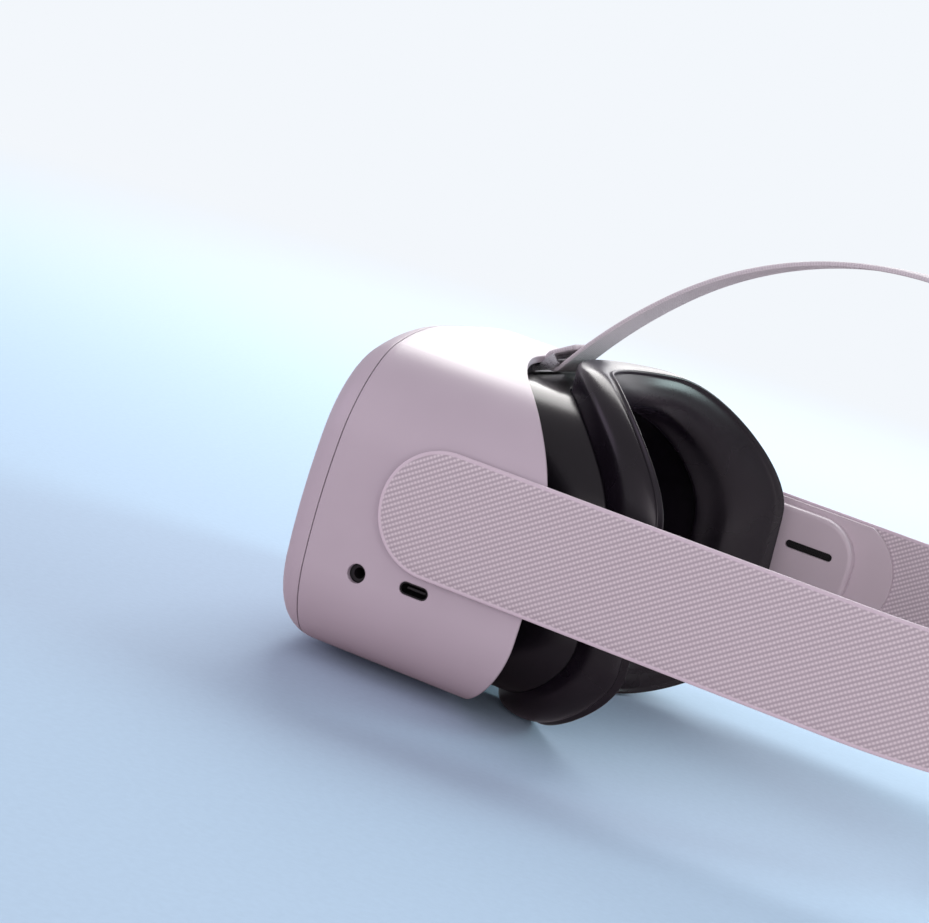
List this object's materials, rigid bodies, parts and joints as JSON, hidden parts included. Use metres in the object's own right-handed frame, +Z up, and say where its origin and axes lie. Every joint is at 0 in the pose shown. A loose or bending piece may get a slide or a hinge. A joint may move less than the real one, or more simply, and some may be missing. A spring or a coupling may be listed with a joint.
{
  "type": "virtual reality headset",
  "caption": "Head-worn display in a smooth moulded housing, with a pull-off face cushion, pivoting speaker arms and a woven head strap with a strap over the top.",
  "frame": {"origin": "bottom centre of the whole object's box, on the surface it stands on", "axes": "+Z up, the visor faces -Y and the back of the head strap is at +Y, the wearer's left side is +X"},
  "size_m": [0.1916, 0.295, 0.177],
  "materials": {
    "shell_plastic": "satin moulded white polycarbonate blend",
    "arm_plastic": "fine satin texture",
    "black_plastic": "matte moulded black",
    "camera_glass": "gloss black window",
    "lens_glass": "clear optical moulding",
    "cushion_foam": "soft foam skinned in satin black polyurethane",
    "strap_fabric": "elastic waffle knit",
    "top_webbing": "ribbed flat webbing",
    "steel": "ground",
    "copper": "rolled foil",
    "circuit_board": "solder mask",
    "display_glass": "polished panel",
    "cell_wrap": "foil pouch",
    "light_pipe": "diffusing"
  },
  "bodies": {
    "headset": {"audio_jack": "black_plastic", "battery_cell": "cell_wrap", "bezel_screws": "steel", "camera_lower_left": "black_plastic", "camera_lower_right": "black_plastic", "camera_upper_left": "black_plastic", "camera_upper_right": "black_plastic", "camera_window_lower_left": "camera_glass", "camera_window_lower_right": "camera_glass", "camera_window_upper_left": "camera_glass", "camera_window_upper_right": "camera_glass", "charge_port": "steel", "chassis_plate": "black_plastic", "display_panel": "display_glass", "fan_casing": "black_plastic", "front_cover": "shell_plastic", "heat_spreader": "copper", "hinge_pin_left": "steel", "hinge_pin_right": "steel", "lens_rail_lower": "steel", "lens_rail_upper": "steel", "main_board": "circuit_board", "main_housing": "shell_plastic", "power_switch": "black_plastic", "processor_shield": "steel", "proximity_sensor": "black_plastic", "rear_bezel": "black_plastic", "status_light": "light_pipe", "top_strap_bar": "steel", "volume_down_switch": "black_plastic", "volume_up_switch": "black_plastic"},
    "power_button": {"power_button": "arm_plastic"},
    "volume_up_button": {"volume_up_button": "arm_plastic"},
    "volume_down_button": {"volume_down_button": "arm_plastic"},
    "fan_rotor": {"fan_rotor": "black_plastic"},
    "ipd_pinion": {"ipd_pinion": "black_plastic"},
    "lens_left": {"lens_carrier_left": "black_plastic", "lens_left": "lens_glass"},
    "lens_right": {"lens_carrier_right": "black_plastic", "lens_right": "lens_glass"},
    "face_interface": {"face_frame": "black_plastic", "face_cushion": "cushion_foam"},
    "strap_loop": {"arm_plate_left": "arm_plastic", "arm_plate_right": "arm_plastic", "speaker_pod_left": "arm_plastic", "speaker_pod_right": "arm_plastic", "speaker_left": "black_plastic", "speaker_right": "black_plastic", "side_strap_left": "strap_fabric", "side_strap_right": "strap_fabric", "back_panel": "strap_fabric", "top_strap": "top_webbing"},
    "slider_left": {"strap_slider_left": "arm_plastic"},
    "slider_right": {"strap_slider_right": "arm_plastic"}
  },
  "joints": [
    {"name": "strap_pivot", "type": "hinge", "parent": "headset", "child": "strap_loop", "pos_m": [0, -0.0895, 0.061], "axis": [1, 0, 0], "range_deg": [-8, 40], "deforming": ["top_strap"]},
    {"name": "slider_left_slide", "type": "slide", "parent": "strap_loop", "child": "slider_left", "axis": [-0.7071, 0.7071, 0], "range_m": [-0.012, 0.012]},
    {"name": "slider_right_slide", "type": "slide", "parent": "strap_loop", "child": "slider_right", "axis": [0.7071, 0.7071, 0], "range_m": [-0.012, 0.012]},
    {"name": "face_interface_pull", "type": "slide", "parent": "headset", "child": "face_interface", "axis": [0, 1, 0], "range_m": [0, 0.03]},
    {"name": "lens_left_slide", "type": "slide", "parent": "headset", "child": "lens_left", "axis": [1, 0, 0], "range_m": [-0.0025, 0.0025]},
    {"name": "lens_right_slide", "type": "slide", "parent": "headset", "child": "lens_right", "axis": [1, 0, 0], "range_m": [-0.0025, 0.0025]},
    {"name": "ipd_pinion_spin", "type": "hinge", "parent": "headset", "child": "ipd_pinion", "pos_m": [0, -0.1069, 0.09], "axis": [0, 1, 0], "range_deg": [-30, 30]},
    {"name": "power_button_press", "type": "slide", "parent": "headset", "child": "power_button", "axis": [1, 0, 0], "range_m": [0, 0.0006], "stiffness_N_per_m": 400},
    {"name": "volume_up_press", "type": "slide", "parent": "headset", "child": "volume_up_button", "axis": [0, 0, 1], "range_m": [0, 0.0006], "stiffness_N_per_m": 400},
    {"name": "volume_down_press", "type": "slide", "parent": "headset", "child": "volume_down_button", "axis": [0, 0, 1], "range_m": [0, 0.0006], "stiffness_N_per_m": 400},
    {"name": "fan_spin", "type": "hinge", "parent": "headset", "child": "fan_rotor", "pos_m": [-0.032, -0.1365, 0.06], "axis": [0, 1, 0], "continuous": true}
  ],
  "couplings": [
    {"joint": "lens_right_slide", "follows": "lens_left_slide", "ratio": -1},
    {"joint": "ipd_pinion_spin", "follows": "lens_left_slide", "rad_per_m": 208.33}
  ]
}
